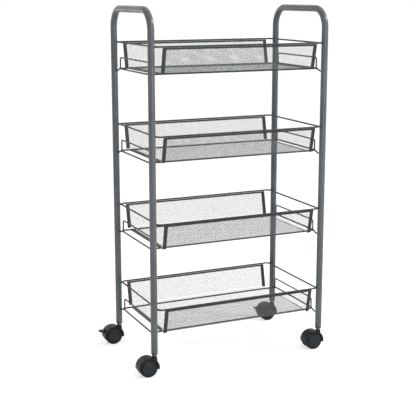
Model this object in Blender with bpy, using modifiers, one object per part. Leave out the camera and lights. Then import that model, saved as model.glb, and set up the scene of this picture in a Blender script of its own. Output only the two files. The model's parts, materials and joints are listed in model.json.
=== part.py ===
"""Four-tier rolling cart: two bent-tube side frames, four wire-and-mesh baskets, four twin-wheel casters.

Units are metres and +Z is up. The baskets run along X, the tubes of one side frame are spaced along Y,
and the front is at -Y. The overall box stands on z = 0 and is centred on the origin.
"""
import math

import bmesh
import bpy
from mathutils import Matrix, Vector

# Side frames: one round tube each, bent into an inverted U.
WIDTH = 0.460
DEPTH = 0.260
HEIGHT = 0.850
TUBE_R = 0.008
TUBE_WALL = 0.0012
TUBE_FOOT_Z = 0.052
BEND_R = 0.046
LEG_X = WIDTH / 2 - TUBE_R
LEG_Y = DEPTH / 2 - TUBE_R

# Baskets, from the top one down.
RIM_Z = (0.762, 0.562, 0.360, 0.157)
GAP = 0.0003
WIRE_R = 0.002
RIM_HALF_X = LEG_X - TUBE_R - GAP - WIRE_R
RIM_HALF_Y = 0.129
RIM_CORNER_R = 0.009
BASE_DROP = 0.062
BASE_HALF_X = 0.2194
BASE_HALF_Y = 0.099
BASE_CORNER_R = 0.012
STUB_R = 0.0019
STUB_DROP = 0.0055
GUARD_R = 0.00175
GUARD_RISE = 0.0263
GUARD_CORNER_R = 0.006

# Sheets of the baskets: the mesh is a closed sheet, thinned between its solid bands.
SHEET_HALF_X = 0.197
SHEET_T = 0.0012
SHEET_RECESS = 0.0004
BAND_W = 0.0093
TOP_BAND_W = 0.0043
HEM_W = 0.0015
PANEL_LEN = 0.0605
PANEL_FOOT_Y = 0.1155
FLOOR_HALF_Y = 0.1144
FLOOR_T = 0.0010

# Casters, measured from the swivel axis on the floor, with the wheels trailing towards -X.
TRAIL = 0.019
AXLE_Z = 0.022
WHEEL_R = 0.022
WHEEL_IN = 0.0058
WHEEL_OUT = 0.0164
AXLE_R = 0.0025
AXLE_HALF = 0.0128
HOOD_R = 0.024
HOOD_LIP = 0.003
HOOD_BORE_R = 0.0225
HOOD_HALF_W = 0.0160
WEB_HALF_W = 0.0055
HOOD_FOOT_Z = 0.0175
BOSS_R = 0.006
BOSS_TOP_Z = 0.0463
SOCKET_R = 0.0038
SOCKET_FOOT_Z = 0.026
STEM_R = 0.0035
COLLAR_R = 0.0044
PLUG_FOOT_Z = 0.0486
PLUG_R = 0.0078
PLUG_SHANK_R = 0.0064
PLUG_TOP_Z = 0.072
PLUG_BORE_TOP_Z = 0.066

# Brake lever, on the two back casters.
LEVER_PIVOT = (-0.034, 0.033)
LEVER_HUB_R = 0.004
LEVER_NECK_HALF_W = 0.0036
LEVER_PAD_HALF_W = 0.008
LEVER_PAD_ROOT_X = -0.043
LEVER_TIP_X = -0.0545
SLOT_HALF_W = 0.0040

# The levers reach past the side frames, so the frames' centre is shifted to centre the overall box.
FRAME_CENTRE_X = -((LEVER_TIP_X - LEG_X) + WIDTH / 2) / 2

WIRE_RES = 2
TUBE_RES = 4
ROUND_STEPS = 20


def start():
    for obj in list(bpy.data.objects):
        bpy.data.objects.remove(obj, do_unlink=True)


def collection(name):
    coll = bpy.data.collections.new(name)
    bpy.context.scene.collection.children.link(coll)
    return coll


def material(name, colour, metallic, roughness):
    mat = bpy.data.materials.new(name)
    mat.use_nodes = True
    shader = mat.node_tree.nodes["Principled BSDF"]
    shader.inputs["Base Color"].default_value = (*colour, 1.0)
    shader.inputs["Metallic"].default_value = metallic
    shader.inputs["Roughness"].default_value = roughness
    return mat


def add(name, data, mat=None, location=(0, 0, 0)):
    """A part: in the cart's collection and parented to its centre, or to the caster being made."""
    obj = bpy.data.objects.new(name, data)
    parts.objects.link(obj)
    obj.parent = cart
    obj.location = location
    if mat:
        data.materials.clear()
        data.materials.append(mat)
    return obj


def add_cutter(name, data, location=(0, 0, 0), rotation=(0, 0, 0)):
    obj = bpy.data.objects.new(name, data)
    cutters.objects.link(obj)
    obj.parent = cart
    obj.location = location
    obj.rotation_euler = rotation
    obj.hide_render = True
    obj.display_type = "WIRE"
    return obj


def smooth(mesh, degrees=40):
    mesh.shade_smooth()
    mesh.set_sharp_from_angle(angle=math.radians(degrees))


def wire_mesh(name, points, radius, closed=False, resolution=WIRE_RES, caps=True):
    """A round wire along the points, as a mesh with its caps welded on."""
    curve = bpy.data.curves.new(name, "CURVE")
    curve.dimensions = "3D"
    curve.bevel_depth = radius
    curve.bevel_resolution = resolution
    curve.use_fill_caps = caps and not closed
    spline = curve.splines.new("POLY")
    spline.points.add(len(points) - 1)
    for point, place in zip(spline.points, points):
        point.co = (*place, 1.0)
    spline.use_cyclic_u = closed
    source = bpy.data.objects.new(name, curve)
    parts.objects.link(source)
    bpy.context.view_layer.update()
    graph = bpy.context.evaluated_depsgraph_get()
    mesh = bpy.data.meshes.new_from_object(source.evaluated_get(graph))
    bpy.data.objects.remove(source)
    weld(mesh)
    mesh.name = name
    smooth(mesh)
    return mesh


def weld(mesh):
    bm = bmesh.new()
    bm.from_mesh(mesh)
    bmesh.ops.remove_doubles(bm, verts=bm.verts, dist=0.00001)
    bmesh.ops.recalc_face_normals(bm, faces=bm.faces)
    bm.to_mesh(mesh)
    bm.free()


def arc(centre, radius, start_deg, end_deg, steps):
    """Points of an arc in a plane, as (a, b) pairs."""
    turn = math.radians(end_deg - start_deg)
    first = math.radians(start_deg)
    return [(centre[0] + radius * math.cos(first + turn * i / steps),
             centre[1] + radius * math.sin(first + turn * i / steps)) for i in range(steps + 1)]


def rounded_rectangle(half_x, half_y, radius, steps=4):
    x = half_x - radius
    y = half_y - radius
    return (arc((x, y), radius, 0, 90, steps) + arc((-x, y), radius, 90, 180, steps)
            + arc((-x, -y), radius, 180, 270, steps) + arc((x, -y), radius, 270, 360, steps))


def arch(half_y, foot_z, top_z, radius, steps):
    """An inverted U in the YZ plane, as (y, z) pairs from the front foot to the back foot."""
    y = half_y - radius
    z = top_z - radius
    return ([(-half_y, foot_z)] + arc((-y, z), radius, 180, 90, steps)
            + arc((y, z), radius, 90, 0, steps) + [(half_y, foot_z)])


def box_mesh(name, low, high):
    mesh = bpy.data.meshes.new(name)
    size = [b - a for a, b in zip(low, high)]
    centre = [(a + b) / 2 for a, b in zip(low, high)]
    bm = bmesh.new()
    bmesh.ops.create_cube(bm, size=1.0, matrix=Matrix.Translation(centre) @ Matrix.Diagonal((*size, 1.0)))
    bm.to_mesh(mesh)
    bm.free()
    return mesh


def drum_mesh(name, radius, low, high, axis="Z", centre=(0, 0), steps=ROUND_STEPS):
    """A cylinder from low to high along Z or Y; centre is its (x, y) or its (x, z)."""
    mesh = bpy.data.meshes.new(name)
    middle = (low + high) / 2
    if axis == "Z":
        place = Matrix.Translation((centre[0], centre[1], middle))
    else:
        place = Matrix.Translation((centre[0], middle, centre[1])) @ Matrix.Rotation(math.pi / 2, 4, "X")
    bm = bmesh.new()
    bmesh.ops.create_cone(bm, cap_ends=True, segments=steps, radius1=radius, radius2=radius,
                          depth=high - low, matrix=place)
    bm.to_mesh(mesh)
    bm.free()
    return mesh


def turned(name, profile, mat, location, steps=ROUND_STEPS, turn=(0, 0, 0)):
    """A solid of revolution about its own Z from (radius, z) pairs, outer side listed top to bottom."""
    mesh = bpy.data.meshes.new(name)
    verts = [(r, 0, z) for r, z in profile]
    edges = [(i, i + 1) for i in range(len(profile) - 1)]
    mesh.from_pydata(verts, edges, [])
    obj = add(name, mesh, mat, location)
    obj.rotation_euler = turn
    screw = obj.modifiers.new("turn", "SCREW")
    screw.axis = "Z"
    screw.angle = 2 * math.pi
    screw.steps = steps
    screw.render_steps = steps
    screw.use_merge_vertices = True
    screw.merge_threshold = 0.00001
    screw.use_smooth_shade = True
    return obj


def boolean(obj, operation, cutter):
    mod = obj.modifiers.new(cutter.name, "BOOLEAN")
    mod.operation = operation
    mod.solver = "EXACT"
    mod.object = cutter


def side_frame(name, side):
    """An inverted U of thin tube, open at both feet."""
    points = [(0, y, z) for y, z in arch(LEG_Y, TUBE_FOOT_Z, HEIGHT - TUBE_R, BEND_R, 7)]
    mesh = wire_mesh(name, points, TUBE_R, resolution=TUBE_RES, caps=False)
    frame = add(name, mesh, powder_coat, (side * LEG_X, 0, 0))
    wall = frame.modifiers.new("wall", "SOLIDIFY")
    wall.thickness = TUBE_WALL
    wall.offset = -1.0


def rim_ring(name, z):
    points = [(x, y, 0) for x, y in rounded_rectangle(RIM_HALF_X, RIM_HALF_Y, RIM_CORNER_R)]
    add(name, wire_mesh(name, points, WIRE_R, closed=True), wire_coat, (0, 0, z))


def corner_of_base():
    """The middle of the base ring's rounded corner, where the guards and the stubs are welded."""
    inset = BASE_CORNER_R * (1 - math.sqrt(0.5))
    return BASE_HALF_X - inset, BASE_HALF_Y - inset


def stub_points():
    """A short S-bent wire from the ring's corner, out and down to the leg's surface."""
    x, y = corner_of_base()
    leg = Vector((LEG_X, LEG_Y))
    towards = (Vector((x, y)) - leg).normalized()
    end = leg + towards * (TUBE_R + GAP + 0.0001)
    steps = 6
    points = []
    for i in range(steps + 1):
        t = i / steps
        drop = STUB_DROP * (1 - math.cos(math.pi * min(1.0, t * 1.3))) / 2
        points.append((x + (end.x - x) * t, y + (end.y - y) * t, -drop))
    return points


def base_ring(name, z):
    """The basket's lower ring, with a welded stub at each corner reaching its leg."""
    points = [(x, y, 0) for x, y in rounded_rectangle(BASE_HALF_X, BASE_HALF_Y, BASE_CORNER_R)]
    ring = add(name, wire_mesh(name, points, WIRE_R, closed=True), wire_coat, (0, 0, z))
    for sx in (-1, 1):
        for sy in (-1, 1):
            stub_name = f"{name}_stub_{'r' if sx > 0 else 'l'}{'b' if sy > 0 else 'f'}"
            path = [(sx * px, sy * py, pz) for px, py, pz in stub_points()]
            stub = add_cutter(stub_name, wire_mesh(stub_name, path, STUB_R), (0, 0, z))
            boolean(ring, "UNION", stub)


def guard(name, side, z):
    """The side's guard wire: an inverted U standing on the base ring's corners."""
    x, y = corner_of_base()
    path = arch(y, WIRE_R + GAP, GUARD_RISE, GUARD_CORNER_R, 4)
    points = [(0, py, pz) for py, pz in path]
    add(name, wire_mesh(name, points, GUARD_R), wire_coat, (side * x, 0, z))


def floor_sheet(name, z):
    """The mesh floor on the base ring, thinned between the hems at its two ends."""
    low = (-SHEET_HALF_X, -FLOOR_HALF_Y, 0)
    high = (SHEET_HALF_X, FLOOR_HALF_Y, FLOOR_T)
    place = (0, 0, z + WIRE_R + GAP)
    sheet = add(name, box_mesh(name, low, high), mesh_coat, place)
    inner = SHEET_HALF_X - BAND_W
    recess = box_mesh(name + "_recess", (-inner, -1, FLOOR_T - SHEET_RECESS), (inner, 1, 1))
    boolean(sheet, "DIFFERENCE", add_cutter(name + "_recess", recess, place))


def side_panel(name, side, z):
    """The front or back mesh panel, hanging under the rim ring and leaning in towards its foot."""
    lean = math.atan2(RIM_HALF_Y - PANEL_FOOT_Y, BASE_DROP)
    top = -(WIRE_R + GAP + 0.0001)
    foot = top - PANEL_LEN
    half_t = SHEET_T / 2
    panel = add(name, box_mesh(name, (-SHEET_HALF_X, -half_t, foot), (SHEET_HALF_X, half_t, top)),
                mesh_coat, (0, side * RIM_HALF_Y, z))
    panel.rotation_euler = (side * -lean, 0, 0)
    outer = (half_t - SHEET_RECESS, 1)
    low_y, high_y = outer if side > 0 else (-outer[1], -outer[0])
    inner = SHEET_HALF_X - BAND_W
    recess = box_mesh(name + "_recess", (-inner, low_y, foot + HEM_W), (inner, high_y, top - TOP_BAND_W))
    boolean(panel, "DIFFERENCE",
            add_cutter(name + "_recess", recess, panel.location, panel.rotation_euler))


def basket(number, rim_z):
    base_z = rim_z - BASE_DROP
    rim_ring(f"rim_ring_{number}", rim_z)
    base_ring(f"base_ring_{number}", base_z)
    guard(f"guard_left_{number}", -1, base_z)
    guard(f"guard_right_{number}", 1, base_z)
    floor_sheet(f"floor_mesh_{number}", base_z)
    side_panel(f"front_panel_{number}", -1, rim_z)
    side_panel(f"back_panel_{number}", 1, rim_z)


def plug_profile():
    return [(0, PLUG_TOP_Z), (PLUG_SHANK_R - 0.0008, PLUG_TOP_Z), (PLUG_SHANK_R, PLUG_TOP_Z - 0.001),
            (PLUG_SHANK_R, TUBE_FOOT_Z - GAP), (PLUG_R, TUBE_FOOT_Z - GAP), (PLUG_R, TUBE_FOOT_Z - 0.0014),
            (STEM_R + 0.0021, PLUG_FOOT_Z), (STEM_R + GAP, PLUG_FOOT_Z), (STEM_R + GAP, PLUG_BORE_TOP_Z),
            (0, PLUG_BORE_TOP_Z)]


def stem_profile():
    collar_foot = BOSS_TOP_Z + GAP
    collar_top = PLUG_FOOT_Z - GAP
    return [(0, PLUG_BORE_TOP_Z - GAP), (STEM_R, PLUG_BORE_TOP_Z - GAP), (STEM_R, collar_top),
            (COLLAR_R, collar_top), (COLLAR_R, collar_foot), (STEM_R, collar_foot),
            (STEM_R, SOCKET_FOOT_Z + GAP + 0.0007), (STEM_R - 0.0007, SOCKET_FOOT_Z + GAP),
            (0, SOCKET_FOOT_Z + GAP)]


def wheel_profile():
    """Crowned outer disc, groove, rounded tread, flat inner face with a blind bore for the axle."""
    tread = arc((WHEEL_R - 0.0022, WHEEL_OUT - 0.0040), 0.0022, 90, 0, 2)
    heel = arc((WHEEL_R - 0.0022, WHEEL_IN + 0.0022), 0.0022, 0, -90, 2)
    bore_r = AXLE_R + GAP
    return ([(0, WHEEL_OUT), (0.0080, WHEEL_OUT - 0.0003), (0.0140, WHEEL_OUT - 0.0012),
             (0.0184, WHEEL_OUT - 0.0028)] + tread + heel
            + [(bore_r, WHEEL_IN), (bore_r, AXLE_HALF + GAP), (0, AXLE_HALF + GAP)])


def hood(name, location, with_slot):
    """The caster's moulded body: an arched cover, a central web and the boss for the stem.

    The cover is thicker towards the stem, by the lip.
    """
    axle = (-TRAIL, AXLE_Z)
    mesh = drum_mesh(name, HOOD_R, -HOOD_HALF_W, HOOD_HALF_W, "Y", axle, 32)
    smooth(mesh)
    body = add(name, mesh, caster_plastic, location)

    def tool(label, data):
        return add_cutter(f"{name}_{label}", data, location)

    lip = drum_mesh("lip", HOOD_R, -HOOD_HALF_W, HOOD_HALF_W, "Y", (HOOD_LIP - TRAIL, AXLE_Z), 32)
    boolean(body, "UNION", tool("lip", lip))
    boolean(body, "UNION", tool("boss", drum_mesh("boss", BOSS_R, AXLE_Z, BOSS_TOP_Z, steps=16)))
    for side in (-1, 1):
        low, high = sorted((side * WEB_HALF_W, side * 2 * HOOD_HALF_W))
        space = drum_mesh("wheel_space", HOOD_BORE_R, low, high, "Y", axle, 32)
        boolean(body, "DIFFERENCE", tool(f"wheel_space_{low > 0}", space))
    boolean(body, "DIFFERENCE", tool("foot", box_mesh("foot", (-1, -1, -1), (1, 1, HOOD_FOOT_Z))))
    socket = drum_mesh("socket", SOCKET_R, SOCKET_FOOT_Z, 2 * BOSS_TOP_Z, steps=12)
    boolean(body, "DIFFERENCE", tool("socket", socket))
    axle_hole = drum_mesh("axle_hole", AXLE_R + GAP, -1, 1, "Y", axle, 12)
    boolean(body, "DIFFERENCE", tool("axle_hole", axle_hole))
    if with_slot:
        x, z = LEVER_PIVOT
        clear = LEVER_HUB_R + 0.0007
        slot = box_mesh("slot", (-1, -SLOT_HALF_W, z - 0.0065), (x + clear, SLOT_HALF_W, z + clear + 0.0008))
        boolean(body, "DIFFERENCE", tool("slot", slot))


def lever(name, location):
    """The brake lever: a hub between the web's cheeks, a narrow neck and a wide thumb pad."""
    x, z = LEVER_PIVOT
    pivot = Vector(location) + Vector((x, 0, z))
    hub = drum_mesh(name, LEVER_HUB_R, -LEVER_NECK_HALF_W, LEVER_NECK_HALF_W, "Y", (0, 0), 16)
    body = add(name, hub, lever_plastic, pivot)
    root = LEVER_PAD_ROOT_X - x
    tip = LEVER_TIP_X - x
    neck = box_mesh("neck", (root - 0.001, -LEVER_NECK_HALF_W + 0.0002, 0.0003),
                    (0, LEVER_NECK_HALF_W - 0.0002, 0.0036))
    boolean(body, "UNION", add_cutter(f"{name}_neck", neck, pivot))
    pad = box_mesh("pad", (tip, -LEVER_PAD_HALF_W, 0.0), (root, LEVER_PAD_HALF_W, 0.0038))
    for vert in pad.vertices:
        if vert.co.x < (tip + root) / 2:
            vert.co.z = 0.0010 if vert.co.z < 0.0019 else 0.0032
    boolean(body, "UNION", add_cutter(f"{name}_pad", pad, pivot))


def caster(tag, sx, sy):
    place = Vector((sx * LEG_X, sy * LEG_Y, 0))
    turned(f"plug_{tag}", plug_profile(), plug_plastic, place, steps=16)
    turned(f"stem_{tag}", stem_profile(), stem_steel, place, steps=12)
    hood(f"hood_{tag}", place, with_slot=sy > 0)
    axle_place = place + Vector((-TRAIL, 0, AXLE_Z))
    axle = drum_mesh("axle", AXLE_R, -AXLE_HALF, AXLE_HALF, "Y", steps=12)
    smooth(axle)
    add(f"axle_{tag}", axle, stem_steel, axle_place)
    for label, turn in (("front", math.pi / 2), ("back", -math.pi / 2)):
        turned(f"wheel_{label}_{tag}", wheel_profile(), wheel_plastic, axle_place, turn=(turn, 0, 0))
    if sy > 0:
        lever(f"brake_lever_{tag}", place)


start()
parts = collection("rolling_cart")
cutters = collection("cutters")
powder_coat = material("frame_powder_coat", (0.125, 0.132, 0.142), 0.4, 0.38)
wire_coat = material("wire_powder_coat", (0.105, 0.112, 0.120), 0.4, 0.40)
mesh_coat = material("mesh_powder_coat", (0.100, 0.108, 0.115), 0.4, 0.45)
caster_plastic = material("hood_plastic", (0.028, 0.030, 0.033), 0.0, 0.42)
wheel_plastic = material("wheel_plastic", (0.022, 0.024, 0.027), 0.0, 0.38)
lever_plastic = material("lever_plastic", (0.030, 0.032, 0.035), 0.0, 0.45)
plug_plastic = material("plug_plastic", (0.020, 0.021, 0.023), 0.0, 0.50)
stem_steel = material("stem_steel", (0.62, 0.63, 0.65), 1.0, 0.28)

cart = bpy.data.objects.new("cart_centre", None)
parts.objects.link(cart)
cart.location = (FRAME_CENTRE_X, 0, 0)

side_frame("side_frame_left", -1)
side_frame("side_frame_right", 1)
for tier, height in enumerate(RIM_Z, start=1):
    basket(tier, height)
for corner, side_x, side_y in (("fl", -1, -1), ("fr", 1, -1), ("bl", -1, 1), ("br", 1, 1)):
    caster(corner, side_x, side_y)
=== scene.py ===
import json
import math

import bmesh
import bpy
import numpy as np
from mathutils import Matrix, Vector, noise

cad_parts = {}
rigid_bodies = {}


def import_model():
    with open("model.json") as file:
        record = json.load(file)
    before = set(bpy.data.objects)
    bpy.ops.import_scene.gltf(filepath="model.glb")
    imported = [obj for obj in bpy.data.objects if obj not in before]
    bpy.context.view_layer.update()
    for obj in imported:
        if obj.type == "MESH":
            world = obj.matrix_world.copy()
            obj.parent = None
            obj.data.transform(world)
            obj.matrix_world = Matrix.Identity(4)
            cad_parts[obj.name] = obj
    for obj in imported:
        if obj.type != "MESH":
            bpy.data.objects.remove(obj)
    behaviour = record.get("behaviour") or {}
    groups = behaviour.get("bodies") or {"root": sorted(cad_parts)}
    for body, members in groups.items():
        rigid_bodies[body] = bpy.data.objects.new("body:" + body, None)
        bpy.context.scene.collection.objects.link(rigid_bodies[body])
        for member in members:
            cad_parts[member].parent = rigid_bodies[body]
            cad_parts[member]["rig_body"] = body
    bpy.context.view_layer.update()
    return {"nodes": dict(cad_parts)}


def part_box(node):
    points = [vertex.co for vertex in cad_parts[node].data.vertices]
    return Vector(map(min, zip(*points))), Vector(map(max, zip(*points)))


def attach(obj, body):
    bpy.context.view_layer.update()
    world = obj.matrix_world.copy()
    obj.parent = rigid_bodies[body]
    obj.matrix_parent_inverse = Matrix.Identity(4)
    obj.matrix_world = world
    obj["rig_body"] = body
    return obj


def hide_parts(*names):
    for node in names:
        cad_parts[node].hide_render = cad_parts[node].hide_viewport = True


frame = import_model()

TIERS = (1, 2, 3, 4)
CORNERS = ("fl", "fr", "bl", "br")
SIDES = (("left", -1), ("right", 1))
GAP = 0.0003

# Side frames: one bent tube each.
TUBE_R = 0.008
TUBE_WALL = 0.0012
BEND_R = 0.046

# Basket wires, and the half-sizes of their weld beads.
WIRE_R = 0.002
GUARD_R = 0.00175
STUB_R = 0.0019
STUB_DROP = 0.0055
RIM_CORNER_R = 0.009
BASE_CORNER_R = 0.012
GUARD_CORNER_R = 0.006
BASE_HALF_X = 0.2194
BASE_HALF_Y = 0.099
STUB_BITE = 0.0002
STUB_STEPS = 14
RIM_BEAD = (0.0016, 0.0034, 0.0024)
STUB_RING_BEAD = (0.0027, 0.0027, 0.0022)
STUB_LEG_BEAD = (0.0024, 0.0027, 0.0026)
GUARD_BEAD = (0.0023, 0.0024, 0.0013)
BEAD_LUMP = 0.22
BEAD_LUMP_SCALE = 1.7

# Basket panels and floors: expanded metal, with plate along some of its edges.
PLATE_T = 0.0012
PLATE_EDGE_R = 0.00022
PLATE_CORNER_R = 0.0012
PANEL_TOP = -(WIRE_R + GAP + 0.0001)
SIDE_BAND_W = 0.0093
TOP_BAND_W = 0.0043
GRID_FOOT_GAP = 0.0025
PANEL_LEN = 0.0605
CELL_LONG = 0.0075
CELL_SHORT = 0.0044
PANEL_STRAND_W = 0.00058
FLOOR_STRAND_W = 0.00035
STRAND_T = 0.00011
STRAND_OFFSET = 0.08
STRAND_MEET = 0.8
FLOOR_LIFT = 0.0002
FLOOR_HALF_X = 0.1900
EDGE_W = 0.0072
EDGE_DROP = 0.0040
EDGE_T = 0.0007
EDGE_BEND = 0.0035
EDGE_LAP = 0.0015
EDGE_HALF_Y = 0.0955

# Casters, measured from the swivel axis on the floor.
WHEEL_R = 0.022
HUB_R = 0.0172
WHEEL_IN = 0.0058
WHEEL_OUT = 0.0164
TYRE_R = 0.0028
TYRE_BACK_R = 0.0012
TREAD_GROOVES = (0.0100, 0.0084)
GROOVE = 0.0003
AXLE_R = 0.0025
HOOD_R = 0.024
HOOD_LIP = 0.003
HOOD_BORE_R = 0.0225
HOOD_HALF_W = 0.0160
HOOD_SHOULDER = 0.0011
HOOD_CROWN = 0.0006
WEB_HALF_W = 0.0055
HOOD_FOOT_Z = 0.0175
BOSS_R = 0.006
BOSS_TOP_Z = 0.0463
SOCKET_R = 0.0038
SOCKET_FOOT_Z = 0.026
STEM_R = 0.0035
COLLAR_R = 0.0044
PLUG_FOOT_Z = 0.0486
PLUG_R = 0.0078
PLUG_SHANK_R = 0.0064
PLUG_TOP_Z = 0.072
PLUG_BORE_TOP_Z = 0.066
LEVER_PIVOT = (-0.034, 0.033)
LEVER_HUB_R = 0.004
LEVER_NECK_HALF_W = 0.0036
LEVER_PAD_HALF_W = 0.008
LEVER_PAD_ROOT_X = -0.043
LEVER_TIP_X = -0.0545
LEVER_TOP = 0.0036
LEVER_FOOT = 0.0003
LEVER_RIDGES = 3
RIDGE_PITCH = 0.0024
RIDGE_R = 0.0006
SLOT_HALF_W = 0.004
SLOT_CLEAR = 0.0007


def middle(node):
    low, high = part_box(node)
    return (low + high) / 2


def half_size(node):
    low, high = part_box(node)
    return (high - low) / 2


# Places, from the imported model.
CENTRE_X = (middle("side_frame_left").x + middle("side_frame_right").x) / 2
LEG_X = middle("side_frame_right").x - CENTRE_X
LEG_Y = middle("stem_bl").y
FRAME_TOP_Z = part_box("side_frame_left")[1].z
TUBE_FOOT_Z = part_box("side_frame_left")[0].z
AXLE_Z = middle("axle_fl").z
TRAIL = middle("stem_fl").x - middle("axle_fl").x
AXLE_HALF = half_size("axle_fl").y


# ---------------------------------------------------------------- camera, floor and light

CAMERA_AT = (-0.9880, -2.1348, 0.8787)
CAMERA_YAW = -24.73
CAMERA_PITCH = 11.52
LENS = 84.32
SENSOR_W = 36
SHIFT_Y = -0.04
FLOOR_SIZE = 30


def camera():
    data = bpy.data.cameras.new("camera")
    data.lens = LENS
    data.sensor_width = SENSOR_W
    data.shift_y = SHIFT_Y
    data.clip_end = 50
    obj = bpy.data.objects.new("camera", data)
    bpy.context.scene.collection.objects.link(obj)
    obj.location = CAMERA_AT
    obj.rotation_euler = (math.radians(90 - CAMERA_PITCH), 0, math.radians(CAMERA_YAW))
    bpy.context.scene.camera = obj


def soft_box(name, place, aim, size, power):
    data = bpy.data.lights.new(name, "AREA")
    data.shape = "RECTANGLE"
    data.size, data.size_y = size
    data.energy = power
    obj = bpy.data.objects.new(name, data)
    bpy.context.scene.collection.objects.link(obj)
    obj.location = place
    obj.rotation_euler = (Vector(aim) - Vector(place)).to_track_quat("-Z", "Y").to_euler()


def studio():
    scene = bpy.context.scene
    scene.view_settings.view_transform = "Standard"
    world = bpy.data.worlds.new("studio")
    scene.world = world
    world.use_nodes = True
    background = world.node_tree.nodes["Background"]
    background.inputs["Color"].default_value = (1.0, 1.0, 1.0, 1.0)
    background.inputs["Strength"].default_value = 1.0
    soft_box("key", place=(0.20, -2.10, 0.7), aim=(0, 0, 0.35), size=(0.12, 2.0), power=17)
    soft_box("top", place=(-0.2, 0.1, 2.2), aim=(0, 0, 0.4), size=(1.4, 1.0), power=3)
    soft_box("band", place=(-0.60, 1.78, 0.62), aim=(0, 0, 0.8), size=(0.5, 0.5), power=0.9)
    soft_box("glint", place=(1.52, -0.86, 1.95), aim=(0, 0, 0.8), size=(0.12, 0.12), power=36)


def floor():
    bm = bmesh.new()
    bmesh.ops.create_grid(bm, x_segments=1, y_segments=1, size=FLOOR_SIZE)
    mesh = bpy.data.meshes.new("floor")
    bm.to_mesh(mesh)
    bm.free()
    obj = bpy.data.objects.new("floor", mesh)
    bpy.context.scene.collection.objects.link(obj)
    mesh.materials.append(floor_material())


# ---------------------------------------------------------------- materials

def shader_tree(name):
    mat = bpy.data.materials.new(name)
    mat.use_nodes = True
    tree = mat.node_tree
    return mat, tree, tree.nodes["Principled BSDF"]


def coordinates(tree):
    return tree.nodes.new("ShaderNodeTexCoord").outputs["Object"]


def axes_of(tree, vector):
    node = tree.nodes.new("ShaderNodeSeparateXYZ")
    tree.links.new(vector, node.inputs[0])
    return node.outputs


def noise_of(tree, vector, scale, detail=3.0, roughness=0.55, distortion=0.0):
    node = tree.nodes.new("ShaderNodeTexNoise")
    node.inputs["Scale"].default_value = scale
    node.inputs["Detail"].default_value = detail
    node.inputs["Roughness"].default_value = roughness
    node.inputs["Distortion"].default_value = distortion
    tree.links.new(vector, node.inputs["Vector"])
    return node.outputs["Fac"]


def ramp(tree, factor, stops):
    """A colour ramp; stops are (position, colour) with the colour a number or an RGB triple."""
    node = tree.nodes.new("ShaderNodeValToRGB")
    elements = node.color_ramp.elements
    while len(elements) < len(stops):
        elements.new(0.5)
    for element, (position, colour) in zip(elements, stops):
        element.position = position
        triple = (colour,) * 3 if isinstance(colour, (int, float)) else colour
        element.color = (*triple, 1.0)
    tree.links.new(factor, node.inputs["Fac"])
    return node.outputs["Color"]


def mix(tree, factor, first, second, kind="MIX"):
    node = tree.nodes.new("ShaderNodeMix")
    node.data_type = "RGBA"
    node.blend_type = kind
    for socket, value in ((node.inputs[0], factor), (node.inputs[6], first), (node.inputs[7], second)):
        if isinstance(value, bpy.types.NodeSocket):
            tree.links.new(value, socket)
        elif isinstance(value, (int, float)):
            socket.default_value = value
        else:
            socket.default_value = (*value, 1.0)
    return node.outputs[2]


def number(tree, operation, first, second=0.0):
    node = tree.nodes.new("ShaderNodeMath")
    node.operation = operation
    for socket, value in zip(node.inputs, (first, second)):
        if isinstance(value, bpy.types.NodeSocket):
            tree.links.new(value, socket)
        else:
            socket.default_value = value
    return node.outputs[0]


def bump(tree, height, distance, strength=1.0, under=None):
    node = tree.nodes.new("ShaderNodeBump")
    node.inputs["Strength"].default_value = strength
    node.inputs["Distance"].default_value = distance
    tree.links.new(height, node.inputs["Height"])
    if under:
        tree.links.new(under, node.inputs["Normal"])
    return node.outputs["Normal"]


def powder_coat(name, colour, roughness, peel_scale, metallic=0.10):
    """Baked powder coat: fine orange peel, faint mottling, pinhead flecks and a few tiny chips."""
    mat, tree, shader = shader_tree(name)
    at = coordinates(tree)
    cloud = noise_of(tree, at, scale=14, detail=4)
    fleck = noise_of(tree, at, scale=1500, detail=2)
    light = tuple(c * 1.16 for c in colour)
    dark = tuple(c * 0.86 for c in colour)
    base = ramp(tree, cloud, ((0.30, dark), (0.70, light)))
    flecks = ramp(tree, fleck, ((0.42, 0.86), (0.62, 1.12)))
    base = mix(tree, 1.0, base, flecks, "MULTIPLY")
    chip_noise = noise_of(tree, at, scale=160, detail=5, roughness=0.65)
    chips = ramp(tree, chip_noise, ((0.735, 0.0), (0.755, 1.0)))
    worn = tuple(min(1.0, c * 2.1) for c in colour)
    base = mix(tree, chips, base, worn)
    tree.links.new(base, shader.inputs["Base Color"])
    rub = noise_of(tree, at, scale=60, detail=5, roughness=0.6)
    rough = ramp(tree, rub, ((0.25, roughness - 0.07), (0.75, roughness + 0.08)))
    tree.links.new(rough, shader.inputs["Roughness"])
    shader.inputs["Metallic"].default_value = metallic
    shader.inputs["Specular IOR Level"].default_value = 0.30
    peel = noise_of(tree, at, peel_scale, detail=2, roughness=0.4)
    normal = bump(tree, peel, distance=0.00012, strength=0.55)
    normal = bump(tree, chips, distance=0.00006, strength=-0.5, under=normal)
    tree.links.new(normal, shader.inputs["Normal"])
    return mat


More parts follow.
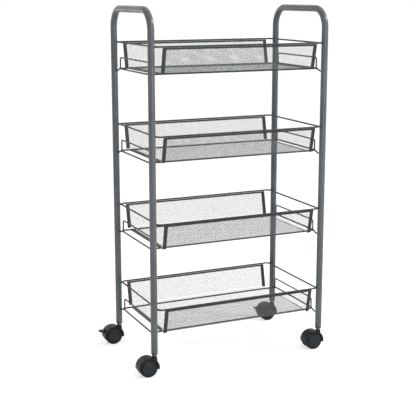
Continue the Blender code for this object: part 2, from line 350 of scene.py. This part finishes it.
def moulded_plastic(name, colour, roughness, grain_scale, scuffs):
    """Injection-moulded plastic: a fine spark-eroded grain, faint flow marks and scuffs."""
    mat, tree, shader = shader_tree(name)
    at = coordinates(tree)
    flow = noise_of(tree, at, scale=45, detail=4, roughness=0.5, distortion=0.6)
    light = tuple(c * 1.25 for c in colour)
    dark = tuple(c * 0.82 for c in colour)
    base = ramp(tree, flow, ((0.30, dark), (0.72, light)))
    scuff_noise = noise_of(tree, at, scale=240, detail=6, roughness=0.7, distortion=1.4)
    scuffed = ramp(tree, scuff_noise, ((0.60, 0.0), (0.74, scuffs)))
    dusty = tuple(c * 2.6 + 0.012 for c in colour)
    base = mix(tree, scuffed, base, dusty)
    tree.links.new(base, shader.inputs["Base Color"])
    rough = ramp(tree, flow, ((0.25, roughness - 0.05), (0.75, roughness + 0.09)))
    tree.links.new(rough, shader.inputs["Roughness"])
    shader.inputs["Specular IOR Level"].default_value = 0.2
    grain = noise_of(tree, at, grain_scale, detail=3, roughness=0.6)
    tree.links.new(bump(tree, grain, distance=0.00010, strength=0.5), shader.inputs["Normal"])
    return mat


def wheel_material():
    """Wheel plastic: moulded face, and a tread dulled by the floor with fine rolling marks."""
    mat, tree, shader = shader_tree("wheel_nylon")
    at = coordinates(tree)
    axes = axes_of(tree, at)
    squares = [number(tree, "POWER", axes[name], 2.0) for name in ("X", "Y")]
    radius = number(tree, "SQRT", number(tree, "ADD", *squares))
    tread = number(tree, "GREATER_THAN", radius, WHEEL_R - 0.0006)
    tyre = number(tree, "GREATER_THAN", radius, HUB_R)
    face_noise = noise_of(tree, at, scale=60, detail=4, distortion=0.4)
    disc_dark = (0.007, 0.010, 0.012)
    disc_light = (0.012, 0.016, 0.018)
    disc = ramp(tree, face_noise, ((0.30, disc_dark), (0.72, disc_light)))
    face = mix(tree, tyre, disc, (0.003, 0.004, 0.005))
    stretch = tree.nodes.new("ShaderNodeCombineXYZ")
    tree.links.new(axes["Z"], stretch.inputs["Z"])
    tree.links.new(radius, stretch.inputs["X"])
    rings = noise_of(tree, stretch.outputs[0], scale=900, detail=4, roughness=0.7)
    dust_noise = noise_of(tree, at, scale=130, detail=5, roughness=0.65)
    dust = ramp(tree, dust_noise, ((0.40, 0.10), (0.75, 0.75)))
    dulled = mix(tree, dust, (0.014, 0.015, 0.016), (0.050, 0.049, 0.047))
    base = mix(tree, tread, face, dulled)
    tree.links.new(base, shader.inputs["Base Color"])
    face_rough = ramp(tree, face_noise, ((0.3, 0.34), (0.7, 0.46)))
    tread_rough = ramp(tree, dust_noise, ((0.3, 0.5), (0.7, 0.72)))
    rough = mix(tree, tread, face_rough, tread_rough)
    tree.links.new(rough, shader.inputs["Roughness"])
    shader.inputs["Specular IOR Level"].default_value = 0.2
    normal = bump(tree, rings, distance=0.00005, strength=0.35)
    grain = noise_of(tree, at, scale=1900, detail=2, roughness=0.5)
    normal = bump(tree, grain, distance=0.00006, strength=0.4, under=normal)
    tree.links.new(normal, shader.inputs["Normal"])
    return mat


def bright_steel():
    """Zinc-plated steel: turning marks round the axis, and cloudy plating."""
    mat, tree, shader = shader_tree("zinc_plated_steel")
    at = coordinates(tree)
    stretch = tree.nodes.new("ShaderNodeCombineXYZ")
    tree.links.new(axes_of(tree, at)["Z"], stretch.inputs["Z"])
    marks = noise_of(tree, stretch.outputs[0], scale=4200, detail=3, roughness=0.6)
    cloud = noise_of(tree, at, scale=320, detail=4)
    dull = (0.56, 0.57, 0.58)
    bright = (0.74, 0.75, 0.76)
    base = ramp(tree, cloud, ((0.3, dull), (0.7, bright)))
    tree.links.new(base, shader.inputs["Base Color"])
    rough = ramp(tree, marks, ((0.3, 0.20), (0.7, 0.34)))
    tree.links.new(rough, shader.inputs["Roughness"])
    shader.inputs["Metallic"].default_value = 1.0
    tree.links.new(bump(tree, marks, distance=0.00003, strength=0.5), shader.inputs["Normal"])
    return mat


def floor_material():
    mat, tree, shader = shader_tree("studio_floor")
    at = coordinates(tree)
    tone = ramp(tree, noise_of(tree, at, scale=1.2), ((0.3, 0.43), (0.7, 0.45)))
    tree.links.new(tone, shader.inputs["Base Color"])
    shader.inputs["Emission Color"].default_value = (1.0, 1.0, 1.0, 1.0)
    shader.inputs["Emission Strength"].default_value = 0.59
    shader.inputs["Roughness"].default_value = 0.75
    shader.inputs["Specular IOR Level"].default_value = 0.2
    return mat


# ---------------------------------------------------------------- mesh tools

def arc(centre, radius, start_deg, end_deg, steps):
    """Points of an arc in a plane, as (a, b) pairs."""
    turn = math.radians(end_deg - start_deg)
    first = math.radians(start_deg)
    return [(centre[0] + radius * math.cos(first + turn * i / steps),
             centre[1] + radius * math.sin(first + turn * i / steps)) for i in range(steps + 1)]


def rounded_rectangle(half_x, half_y, radius, steps=8):
    x = half_x - radius
    y = half_y - radius
    points = []
    for centre, turn in (((x, y), 0), ((-x, y), 90), ((-x, -y), 180), ((x, -y), 270)):
        points += arc(centre, radius, turn, turn + 90, steps)
    return points


def arch(half_y, foot_z, top_z, radius, steps):
    """An inverted U in the YZ plane, as (y, z) pairs from the front foot to the back foot."""
    y = half_y - radius
    z = top_z - radius
    return ([(-half_y, foot_z)] + arc((-y, z), radius, 180, 90, steps)
            + arc((y, z), radius, 90, 0, steps) + [(half_y, foot_z)])


def add_wire(bm, path, radius, sides=16, closed=False, caps=True):
    """Adds a round wire along the path, with its cross-sections turned as little as possible."""
    points = [Vector(p) for p in path]
    count = len(points)
    rings = []
    previous = None
    for i, point in enumerate(points):
        before = points[(i - 1) % count] if closed or i else point
        after = points[(i + 1) % count] if closed or i < count - 1 else point
        ahead = (after - before).normalized()
        into = (point - before).normalized() if point != before else ahead
        if previous is None:
            helper = Vector((0, 0, 1)) if abs(ahead.z) < 0.9 else Vector((1, 0, 0))
            previous = ahead.cross(helper)
        side = (previous - ahead * previous.dot(ahead)).normalized()
        previous = side
        up = ahead.cross(side)
        spread = 1 / max(0.5, abs(ahead.dot(into)))
        bend = (after - point).normalized() - into if 0 < i < count - 1 or closed else Vector()
        outward = bend.normalized() if bend.length > 1e-6 else Vector()
        ring = []
        for k in range(sides):
            angle = 2 * math.pi * k / sides
            offset = (side * math.cos(angle) + up * math.sin(angle)) * radius
            offset += outward * offset.dot(outward) * (spread - 1)
            ring.append(bm.verts.new(point + offset))
        rings.append(ring)
    pairs = list(zip(rings, rings[1:]))
    if closed:
        pairs.append((rings[-1], rings[0]))
    for first, second in pairs:
        for k in range(sides):
            nxt = (k + 1) % sides
            bm.faces.new((first[k], first[nxt], second[nxt], second[k]))
    if caps and not closed:
        bm.faces.new(rings[0][::-1])
        bm.faces.new(rings[-1])


def add_bead(bm, place, size, seed):
    """Adds a weld bead: a lumpy fillet whose half-sizes are given."""
    made = bmesh.ops.create_icosphere(bm, subdivisions=3, radius=1.0)
    for vert in made["verts"]:
        lump = 1 + BEAD_LUMP * noise.noise(vert.co * BEAD_LUMP_SCALE + Vector((seed * 3.7, seed, 0)))
        vert.co = Vector(place) + Vector([c * lump * s for c, s in zip(vert.co, size)])


def mesh_of(name, bm, sharp=38):
    bmesh.ops.recalc_face_normals(bm, faces=bm.faces)
    mesh = bpy.data.meshes.new(name)
    bm.to_mesh(mesh)
    bm.free()
    mesh.shade_smooth()
    mesh.set_sharp_from_angle(angle=math.radians(sharp))
    return mesh


def show(name, mesh):
    obj = bpy.data.objects.new(name, mesh)
    bpy.context.scene.collection.objects.link(obj)
    return obj


def piece(name, mesh, finish, nodes, place=(0, 0, 0), turn=(0, 0, 0)):
    """A visible piece that stands for CAD nodes, and rides on the body of the first of them."""
    obj = show(name, mesh)
    if not mesh.materials:
        mesh.materials.append(finish)
    obj.location = place
    obj.rotation_euler = turn
    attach(obj, frame["nodes"][nodes[0]]["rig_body"])
    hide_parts(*nodes)
    return obj


def modifier(obj, kind, **settings):
    mod = obj.modifiers.new(kind.lower(), kind)
    for key, value in settings.items():
        setattr(mod, key, value)


def soft_edges(obj, width, segments, angle_deg):
    modifier(obj, "BEVEL", width=width, segments=segments, limit_method="ANGLE",
             angle_limit=math.radians(angle_deg))


def applied(obj):
    """A new mesh of the object with its modifiers applied."""
    bpy.context.view_layer.update()
    graph = bpy.context.evaluated_depsgraph_get()
    return bpy.data.meshes.new_from_object(obj.evaluated_get(graph))


def baked_mesh(obj, sharp=38):
    """The object's mesh with its modifiers applied; the object goes."""
    mesh = applied(obj)
    name = obj.name
    bpy.data.objects.remove(obj)
    mesh.name = name
    mesh.shade_smooth()
    mesh.set_sharp_from_angle(angle=math.radians(sharp))
    return mesh


def turned(name, profile, steps=64, sharp=30):
    """A solid of revolution about Z from (radius, z) pairs, outer side listed top to bottom."""
    bm = bmesh.new()
    verts = [bm.verts.new((r, 0, z)) for r, z in profile]
    edges = [bm.edges.new(pair) for pair in zip(verts, verts[1:])]
    bmesh.ops.spin(bm, geom=verts + edges, cent=(0, 0, 0), axis=(0, 0, 1), angle=2 * math.pi,
                   steps=steps, use_merge=True)
    bmesh.ops.remove_doubles(bm, verts=bm.verts, dist=1e-6)
    return mesh_of(name, bm, sharp)


def drum(radius, low, high, axis="Z", centre=(0, 0), steps=96):
    """A cylinder's mesh from low to high along Z or Y; centre is its (x, y) or its (x, z)."""
    half = (low + high) / 2
    if axis == "Z":
        place = Matrix.Translation((centre[0], centre[1], half))
    else:
        place = Matrix.Translation((centre[0], half, centre[1])) @ Matrix.Rotation(math.pi / 2, 4, "X")
    bm = bmesh.new()
    bmesh.ops.create_cone(bm, cap_ends=True, segments=steps, radius1=radius, radius2=radius,
                          depth=high - low, matrix=place)
    return mesh_of("drum", bm)


def block(low, high):
    size = [b - a for a, b in zip(low, high)]
    centre = [(a + b) / 2 for a, b in zip(low, high)]
    bm = bmesh.new()
    place = Matrix.Translation(centre) @ Matrix.Diagonal((*size, 1.0))
    bmesh.ops.create_cube(bm, size=1.0, matrix=place)
    return mesh_of("block", bm)


def combined(obj, steps):
    """Applies Boolean steps, (operation, mesh) pairs, to the object, one after the other."""
    tools = []
    for operation, mesh in steps:
        tool = show("tool", mesh)
        tools.append(tool)
        modifier(obj, "BOOLEAN", operation=operation, solver="EXACT", object=tool)
    obj.data = applied(obj)
    obj.modifiers.clear()
    for tool in tools:
        bpy.data.objects.remove(tool)


# ---------------------------------------------------------------- side frames

def side_frames():
    bm = bmesh.new()
    path = [(0, y, z) for y, z in arch(LEG_Y, TUBE_FOOT_Z, FRAME_TOP_Z - TUBE_R, BEND_R, steps=28)]
    add_wire(bm, path, TUBE_R, sides=40, caps=False)
    obj = show("frame_tube", mesh_of("frame_tube", bm))
    modifier(obj, "SOLIDIFY", thickness=TUBE_WALL, offset=-1.0)
    soft_edges(obj, width=0.00035, segments=3, angle_deg=50)
    mesh = baked_mesh(obj)
    for name, side in SIDES:
        piece(f"frame_tube_{name}", mesh, FRAME_COAT, [f"side_frame_{name}"],
              (CENTRE_X + side * LEG_X, 0, 0))


# ---------------------------------------------------------------- basket wires

def base_corner():
    """The middle of the base ring's rounded corner, where guards and stubs are welded."""
    inset = BASE_CORNER_R * (1 - math.sqrt(0.5))
    return BASE_HALF_X - inset, BASE_HALF_Y - inset


def rim_wire():
    half_x = half_size("rim_ring_1").x - WIRE_R
    half_y = half_size("rim_ring_1").y - WIRE_R
    bm = bmesh.new()
    outline = rounded_rectangle(half_x, half_y, RIM_CORNER_R)
    add_wire(bm, [(x, y, 0) for x, y in outline], WIRE_R, closed=True)
    for sx in (-1, 1):
        for sy in (-1, 1):
            place = (sx * (half_x + WIRE_R * 0.75), sy * LEG_Y, 0)
            add_bead(bm, place, RIM_BEAD, sx + 3 * sy)
    return mesh_of("rim_wire", bm)


def stub_path(sx, sy):
    """From the base ring's corner down and out to the leg, in an S."""
    x, y = base_corner()
    leg = Vector((LEG_X, LEG_Y))
    towards = (Vector((x, y)) - leg).normalized()
    end = leg + towards * (TUBE_R - STUB_BITE)
    points = []
    for i in range(STUB_STEPS + 1):
        t = i / STUB_STEPS
        drop = STUB_DROP * (1 - math.cos(math.pi * min(1.0, t * 1.3))) / 2
        points.append((sx * (x + (end.x - x) * t), sy * (y + (end.y - y) * t), -drop))
    return points


def base_wire():
    bm = bmesh.new()
    outline = rounded_rectangle(BASE_HALF_X, BASE_HALF_Y, BASE_CORNER_R)
    add_wire(bm, [(x, y, 0) for x, y in outline], WIRE_R, closed=True)
    for sx in (-1, 1):
        for sy in (-1, 1):
            path = stub_path(sx, sy)
            add_wire(bm, path, STUB_R, sides=14)
            add_bead(bm, path[0], STUB_RING_BEAD, 5 + sx + 3 * sy)
            add_bead(bm, path[-1], STUB_LEG_BEAD, 11 + sx + 3 * sy)
    return mesh_of("base_wire", bm)


def guard_wire():
    y = base_corner()[1]
    low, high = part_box("guard_right_1")
    base_z = middle_of_base(1)
    bm = bmesh.new()
    path = arch(y, low.z - base_z - GAP, high.z - base_z - GUARD_R, GUARD_CORNER_R, steps=8)
    add_wire(bm, [(0, py, pz) for py, pz in path], GUARD_R, sides=14)
    for sy in (-1, 1):
        add_bead(bm, (0, sy * y, WIRE_R + 0.0002), GUARD_BEAD, 17 + sy)
    return mesh_of("guard_wire", bm)


def middle_of_base(k):
    """The height of the base ring's wire, whose stubs reach lower than the ring."""
    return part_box(f"base_ring_{k}")[1].z - WIRE_R


# ---------------------------------------------------------------- mesh sheets

def expanded_metal(half_u, half_v, strand_w):
    """Expanded metal in the UV plane: zigzag strands side by side that meet at their peaks.

    Each strand is a flat bar. Neighbours are a hair apart in thickness, as slit and stretched steel is.
    """
    steps = round(2 * half_u / (CELL_LONG / 2))
    rows = round(2 * half_v / (CELL_SHORT / 2))
    du = 2 * half_u / steps
    dv = 2 * half_v / rows
    slope = math.atan2(dv, du)
    reach = strand_w / 2 / math.cos(slope)
    u = -half_u + du * np.arange(steps + 1)
    verts = []
    faces = []
    for row in range(rows):
        up = (np.arange(steps + 1) + row) % 2
        low = -half_v + dv * row + reach * STRAND_MEET
        high = -half_v + dv * (row + 1) - reach * STRAND_MEET
        v = np.where(up == 1, high, low)
        lift = STRAND_T * STRAND_OFFSET * (1 if row % 2 else -1)
        top = STRAND_T / 2 + lift
        foot = -STRAND_T / 2 + lift
        ring = np.stack([
            np.stack([u, v - reach, np.full_like(u, foot)], 1),
            np.stack([u, v + reach, np.full_like(u, foot)], 1),
            np.stack([u, v + reach, np.full_like(u, top)], 1),
            np.stack([u, v - reach, np.full_like(u, top)], 1)], 1)
        start = len(verts) * 4 * (steps + 1)
        verts.append(ring.reshape(-1, 3))
        i = start + 4 * np.arange(steps)
        for k in range(4):
            nxt = (k + 1) % 4
            faces.append(np.stack([i + k, i + 4 + k, i + 4 + nxt, i + nxt], 1))
        last = start + 4 * steps
        ends = [[start, start + 1, start + 2, start + 3], [last + 3, last + 2, last + 1, last]]
        faces.append(np.array(ends))
    return np.concatenate(verts), np.concatenate(faces)


def sheet_mesh(name, verts, faces):
    """A mesh of quads from arrays."""
    mesh = bpy.data.meshes.new(name)
    mesh.vertices.add(len(verts))
    mesh.vertices.foreach_set("co", verts.astype(np.float32).ravel())
    mesh.loops.add(faces.size)
    mesh.loops.foreach_set("vertex_index", faces.astype(np.int32).ravel())
    mesh.polygons.add(len(faces))
    mesh.polygons.foreach_set("loop_start", np.arange(0, faces.size, 4, dtype=np.int32))
    mesh.update(calc_edges=True)
    mesh.validate()
    return mesh


def floor_grid():
    """The floor's mesh, flat on the base wires."""
    flat, faces = expanded_metal(FLOOR_HALF_X, half_size("floor_mesh_1").y, FLOOR_STRAND_W)
    return sheet_mesh("floor_grid", flat + np.array([0, 0, STRAND_T / 2 + FLOOR_LIFT]), faces)


def floor_edges():
    """The plate strips that bind the floor's two short sides, bent down between the base wires."""
    top = [(0, 0), (EDGE_BEND * 0.55, -0.0001), (EDGE_BEND, -0.0008), (EDGE_W, -EDGE_DROP)]
    outline = [(x, z + EDGE_T) for x, z in top] + top[::-1]
    start = FLOOR_HALF_X - EDGE_LAP
    count = len(outline)
    bm = bmesh.new()
    for side in (-1, 1):
        rings = []
        for y in (-EDGE_HALF_Y, EDGE_HALF_Y):
            rings.append([bm.verts.new((side * (start + x), y, z + STRAND_T)) for x, z in outline])
        for i in range(count):
            nxt = (i + 1) % count
            bm.faces.new((rings[0][i], rings[0][nxt], rings[1][nxt], rings[1][i]))
        for ring in rings:
            for i in range(len(top) - 1):
                bm.faces.new((ring[i], ring[i + 1], ring[count - 2 - i], ring[count - 1 - i]))
    return mesh_of("floor_edges", bm, 30)


def panel_grid():
    """A front or back panel's mesh, upright in the XZ plane, from the top band almost to the foot."""
    half_x = half_size("front_panel_1").x - SIDE_BAND_W / 2
    half_z = (PANEL_LEN - TOP_BAND_W / 2 - GRID_FOOT_GAP) / 2
    flat, faces = expanded_metal(half_x, half_z, PANEL_STRAND_W)
    upright = np.stack([flat[:, 0], flat[:, 2], flat[:, 1]], 1)
    upright = upright + np.array([0, 0, PANEL_TOP - TOP_BAND_W / 2 - half_z])
    return sheet_mesh("panel_grid", upright, faces[:, ::-1])


def plate_outline(half_x, top, foot):
    """A wide arch as (x, z) pairs: a top band with a side band down each end."""
    radius = PLATE_CORNER_R
    inner_x = half_x - SIDE_BAND_W
    inner_top = top - TOP_BAND_W
    points = arc((half_x - radius, top - radius), radius, 0, 90, 4)
    points += arc((-half_x + radius, top - radius), radius, 90, 180, 4)
    points += [(-half_x, foot), (-inner_x, foot)]
    points += arc((-inner_x + radius, inner_top - radius), radius, 180, 90, 4)
    points += arc((inner_x - radius, inner_top - radius), radius, 90, 0, 4)
    points += [(inner_x, foot), (half_x, foot)]
    return points


def plate_frame():
    """The solid strip along a panel's top and ends, upright in the XZ plane."""
    curve = bpy.data.curves.new("plate_frame", "CURVE")
    curve.dimensions = "2D"
    curve.fill_mode = "BOTH"
    curve.extrude = PLATE_T / 2 - PLATE_EDGE_R
    curve.bevel_depth = PLATE_EDGE_R
    curve.bevel_resolution = 2
    curve.offset = -PLATE_EDGE_R
    outline = plate_outline(half_size("front_panel_1").x, PANEL_TOP, PANEL_TOP - PANEL_LEN)
    spline = curve.splines.new("POLY")
    spline.points.add(len(outline) - 1)
    for point, (x, z) in zip(spline.points, outline):
        point.co = (x, z, 0, 1)
    spline.use_cyclic_u = True
    mesh = baked_mesh(show("plate_frame", curve))
    mesh.transform(Matrix.Rotation(math.pi / 2, 4, "X"))
    return mesh


def baskets():
    rim = rim_wire()
    base = base_wire()
    guard = guard_wire()
    grid = floor_grid()
    edges = floor_edges()
    panel = panel_grid()
    plate = plate_frame()
    corner_x, _ = base_corner()
    for k in TIERS:
        rim_z = middle(f"rim_ring_{k}").z
        base_z = middle_of_base(k)
        floor_at = (CENTRE_X, 0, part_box(f"floor_mesh_{k}")[0].z)
        floor_node = [f"floor_mesh_{k}"]
        piece(f"rim_wire_{k}", rim, WIRE_COAT, [f"rim_ring_{k}"],
              (CENTRE_X, 0, rim_z))
        piece(f"base_wire_{k}", base, WIRE_COAT, [f"base_ring_{k}"],
              (CENTRE_X, 0, base_z))
        for name, side in SIDES:
            piece(f"guard_wire_{name}_{k}", guard, WIRE_COAT, [f"guard_{name}_{k}"],
                  (CENTRE_X + side * corner_x, 0, base_z))
        piece(f"floor_grid_{k}", grid, MESH_COAT, floor_node, floor_at)
        piece(f"floor_edges_{k}", edges, MESH_COAT, floor_node, floor_at)
        for name, side in (("front", -1), ("back", 1)):
            low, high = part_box(f"{name}_panel_{k}")
            foot_y = min(abs(low.y), abs(high.y)) + PLATE_T / 2
            rim_y = half_size(f"rim_ring_{k}").y - WIRE_R
            lean = math.atan2(rim_y - foot_y, rim_z - base_z)
            place = (CENTRE_X, side * rim_y, rim_z)
            turn = (side * -lean, 0, 0)
            nodes = [f"{name}_panel_{k}"]
            piece(f"{name}_grid_{k}", panel, MESH_COAT, nodes, place, turn)
            piece(f"{name}_plate_{k}", plate, WIRE_COAT, nodes, place, turn)


# ---------------------------------------------------------------- casters

def plug_mesh():
    """The plug in the tube's foot: a shank in the bore, a thin lip below it and the stem's bore."""
    lip = TUBE_FOOT_Z - GAP
    top_r = 0.0012
    lip_r = 0.0004
    profile = [(0, PLUG_TOP_Z), (PLUG_SHANK_R - top_r, PLUG_TOP_Z)]
    profile += arc((PLUG_SHANK_R - top_r, PLUG_TOP_Z - top_r), top_r, 90, 0, 5)[1:]
    profile += [(PLUG_SHANK_R, lip), (PLUG_R - lip_r, lip)]
    profile += arc((PLUG_R - lip_r, lip - lip_r), lip_r, 90, -30, 5)[1:]
    profile += [(STEM_R + 0.0026, PLUG_FOOT_Z + 0.0002), (STEM_R + 0.0021, PLUG_FOOT_Z),
                (STEM_R + GAP, PLUG_FOOT_Z), (STEM_R + GAP, PLUG_BORE_TOP_Z), (0, PLUG_BORE_TOP_Z)]
    return turned("caster_plug", profile)


def stem_mesh():
    collar_foot = BOSS_TOP_Z + GAP
    collar_top = PLUG_FOOT_Z - GAP
    top = PLUG_BORE_TOP_Z - GAP
    foot = SOCKET_FOOT_Z + GAP
    edge = 0.0003
    foot_edge = 0.0007
    profile = [(0, top), (STEM_R - edge, top), (STEM_R, top - edge)]
    profile += [(STEM_R, collar_top), (COLLAR_R - edge, collar_top), (COLLAR_R, collar_top - edge)]
    profile += [(COLLAR_R, collar_foot + edge), (COLLAR_R - edge, collar_foot), (STEM_R, collar_foot)]
    profile += [(STEM_R, foot + foot_edge), (STEM_R - foot_edge, foot), (0, foot)]
    return turned("caster_stem", profile)


def axle_mesh():
    edge = 0.0004
    profile = [(0, AXLE_HALF), (AXLE_R - edge, AXLE_HALF), (AXLE_R, AXLE_HALF - edge),
               (AXLE_R, -AXLE_HALF + edge), (AXLE_R - edge, -AXLE_HALF), (0, -AXLE_HALF)]
    return turned("caster_axle", profile, steps=40)


def wheel_mesh():
    """Shallow dished face, sunk ring, rounded tyre with two fine grooves, and a coved inner side."""
    out = WHEEL_OUT
    sunk = out - 0.0011
    profile = [(0, sunk), (0.0018, sunk), (0.0024, out - 0.0005), (0.0030, out)]
    profile += [(0.0090, out - 0.0001), (HUB_R - 0.0014, out - 0.0003), (HUB_R - 0.0008, out - 0.0006)]
    profile += [(HUB_R - 0.0005, out - 0.0020), (HUB_R + 0.0003, out - 0.0021), (HUB_R + 0.0006, sunk)]
    profile += arc((WHEEL_R - TYRE_R, out - 0.0010 - TYRE_R), TYRE_R, 80, 0, 10)
    for z in TREAD_GROOVES:
        profile += [(WHEEL_R, z + GROOVE), (WHEEL_R - GROOVE, z), (WHEEL_R, z - GROOVE)]
    profile += arc((WHEEL_R - TYRE_BACK_R, WHEEL_IN + TYRE_BACK_R), TYRE_BACK_R, 0, -90, 5)
    bore_r = AXLE_R + GAP
    profile += [(0.0185, WHEEL_IN), (0.0178, WHEEL_IN + 0.0010), (0.0072, WHEEL_IN + 0.0014),
                (0.0064, WHEEL_IN), (bore_r, WHEEL_IN), (bore_r, AXLE_HALF + GAP), (0, AXLE_HALF + GAP)]
    return turned("caster_wheel", profile, steps=96, sharp=32)


def hood_mesh(with_slot):
    """The caster's moulded body: a crowned arched cover, a central web, the boss and its socket."""
    axle = (-TRAIL, AXLE_Z)
    half = HOOD_HALF_W
    corner_x = HOOD_R - HOOD_CROWN - HOOD_SHOULDER
    profile = [(0, half), (corner_x, half)]
    profile += arc((corner_x, half - HOOD_SHOULDER), HOOD_SHOULDER, 90, 10, 6)[1:]
    for share in (0.6, 0.3, 0, -0.3, -0.6):
        profile.append((HOOD_R - HOOD_CROWN * share ** 2, half * share))
    profile += arc((corner_x, -half + HOOD_SHOULDER), HOOD_SHOULDER, -10, -90, 6)
    profile.append((0, -half))
    bm = bmesh.new()
    bm.from_mesh(turned("hood", profile, steps=96))
    bmesh.ops.transform(bm, verts=bm.verts, matrix=Matrix.Rotation(math.pi / 2, 4, "X"))
    for vert in bm.verts:
        towards_stem = max(0.0, min(1.0, 0.5 + vert.co.x / HOOD_R))
        vert.co.x += axle[0] + HOOD_LIP * towards_stem
        vert.co.z += axle[1]
    obj = show("hood", mesh_of("hood", bm))
    edge = 0.0005
    boss = [(0, BOSS_TOP_Z), (BOSS_R - edge, BOSS_TOP_Z), (BOSS_R, BOSS_TOP_Z - edge), (BOSS_R, 0.040)]
    boss += [(BOSS_R + 0.0012, 0.036), (BOSS_R + 0.0006, 0.028), (BOSS_R - 0.0006, 0.024), (0, 0.024)]
    steps = [("UNION", turned("boss", boss, steps=48))]
    for side in (-1, 1):
        low, high = sorted((side * WEB_HALF_W, side * 2 * half))
        steps.append(("DIFFERENCE", drum(HOOD_BORE_R, low, high, "Y", axle)))
    steps.append(("DIFFERENCE", block((-1, -1, -1), (1, 1, HOOD_FOOT_Z))))
    steps.append(("DIFFERENCE", drum(SOCKET_R, SOCKET_FOOT_Z, 2 * BOSS_TOP_Z, steps=32)))
    steps.append(("DIFFERENCE", drum(AXLE_R + GAP, -1, 1, "Y", axle, steps=32)))
    if with_slot:
        x, z = LEVER_PIVOT
        clear = LEVER_HUB_R + SLOT_CLEAR
        slot_low = (-1, -SLOT_HALF_W, z - 0.0065)
        slot_high = (x + clear, SLOT_HALF_W, z + clear + 0.0008)
        steps.append(("DIFFERENCE", block(slot_low, slot_high)))
    combined(obj, steps)
    soft_edges(obj, width=0.00035, segments=2, angle_deg=40)
    return baked_mesh(obj, 32)


def past_root(vert, root, tip):
    """How far a lever's vertex lies from the pad's root towards its tip, 0 to 1."""
    return max(0.0, (root - vert.co.x) / (root - tip))


def lever_mesh():
    """The brake lever about its pivot: hub, narrow neck and a wide, thinning pad with grip ridges."""
    px, _ = LEVER_PIVOT
    root = LEVER_PAD_ROOT_X - px
    tip = LEVER_TIP_X - px
    neck = LEVER_NECK_HALF_W - 0.0002
    half = LEVER_PAD_HALF_W
    outline = [(0, neck), (root + 0.0012, neck)]
    outline += arc((root + 0.0012, neck + 0.0018), 0.0018, 270, 180, 4)
    outline += arc((root - 0.0022, half - 0.0016), 0.0016, 60, 110, 3)
    outline += arc((tip + 0.0010, half - 0.0012), 0.0010, 100, 180, 4)
    outline += [(x, -y) for x, y in reversed(outline)]
    bm = bmesh.new()
    made = bmesh.ops.extrude_face_region(
        bm, geom=[bm.faces.new([bm.verts.new((x, y, LEVER_FOOT)) for x, y in outline])])
    for vert in made["geom"]:
        if isinstance(vert, bmesh.types.BMVert):
            vert.co.z = LEVER_TOP - 0.0005 * past_root(vert, root, tip)
    for vert in bm.verts:
        if vert.co.z < 0.001:
            vert.co.z = LEVER_FOOT + 0.0008 * past_root(vert, root, tip)
    obj = show("lever", mesh_of("lever", bm))
    steps = [("UNION", drum(LEVER_HUB_R, -LEVER_NECK_HALF_W, LEVER_NECK_HALF_W, "Y", steps=48))]
    for i in range(LEVER_RIDGES):
        at = (tip + 0.0024 + RIDGE_PITCH * i, 0.0031 + 0.0001 * i)
        steps.append(("UNION", drum(RIDGE_R, -half + 0.0022, half - 0.0022, "Y", at, steps=16)))
    combined(obj, steps)
    soft_edges(obj, width=0.0003, segments=2, angle_deg=45)
    return baked_mesh(obj, 32)


def casters():
    plug = plug_mesh()
    stem = stem_mesh()
    axle = axle_mesh()
    wheel = wheel_mesh()
    hoods = {with_slot: hood_mesh(with_slot) for with_slot in (False, True)}
    lever = lever_mesh()
    pivot_x, pivot_z = LEVER_PIVOT
    for c in CORNERS:
        braked = c[0] == "b"
        axis = middle(f"stem_{c}")
        place = Vector((axis.x, axis.y, 0))
        hub = place + Vector((-TRAIL, 0, AXLE_Z))
        piece(f"caster_plug_{c}", plug, PLUG_PLASTIC, [f"plug_{c}"], place)
        piece(f"caster_stem_{c}", stem, STEEL, [f"stem_{c}"], place)
        piece(f"caster_hood_{c}", hoods[braked], HOOD_PLASTIC, [f"hood_{c}"], place)
        piece(f"caster_axle_{c}", axle, STEEL, [f"axle_{c}"], hub, (math.pi / 2, 0, 0))
        for name, turn in (("front", math.pi / 2), ("back", -math.pi / 2)):
            piece(f"caster_wheel_{name}_{c}", wheel, WHEEL_NYLON,
                  [f"wheel_{name}_{c}"], hub, (turn, 0, 0))
        if braked:
            piece(f"caster_lever_{c}", lever, LEVER_PLASTIC, [f"brake_lever_{c}"],
                  place + Vector((pivot_x, 0, pivot_z)))


# ---------------------------------------------------------------- the scene

FRAME_COAT = powder_coat("frame_coat", (0.078, 0.085, 0.092), roughness=0.25, peel_scale=900)
WIRE_COAT = powder_coat("wire_coat", (0.019, 0.023, 0.026), roughness=0.36, peel_scale=1100)
MESH_COAT = powder_coat("mesh_coat", (0.075, 0.081, 0.086), roughness=0.46, peel_scale=1500)
HOOD_PLASTIC = moulded_plastic("hood_nylon", (0.004, 0.006, 0.008), roughness=0.36, grain_scale=1300,
                               scuffs=0.15)
LEVER_PLASTIC = moulded_plastic("lever_nylon", (0.009, 0.011, 0.012), roughness=0.40, grain_scale=1500,
                                scuffs=0.3)
PLUG_PLASTIC = moulded_plastic("plug_rubbery_plastic", (0.008, 0.009, 0.010), roughness=0.50,
                               grain_scale=1700, scuffs=0.3)
WHEEL_NYLON = wheel_material()
STEEL = bright_steel()

camera()
studio()
floor()
side_frames()
baskets()
casters()
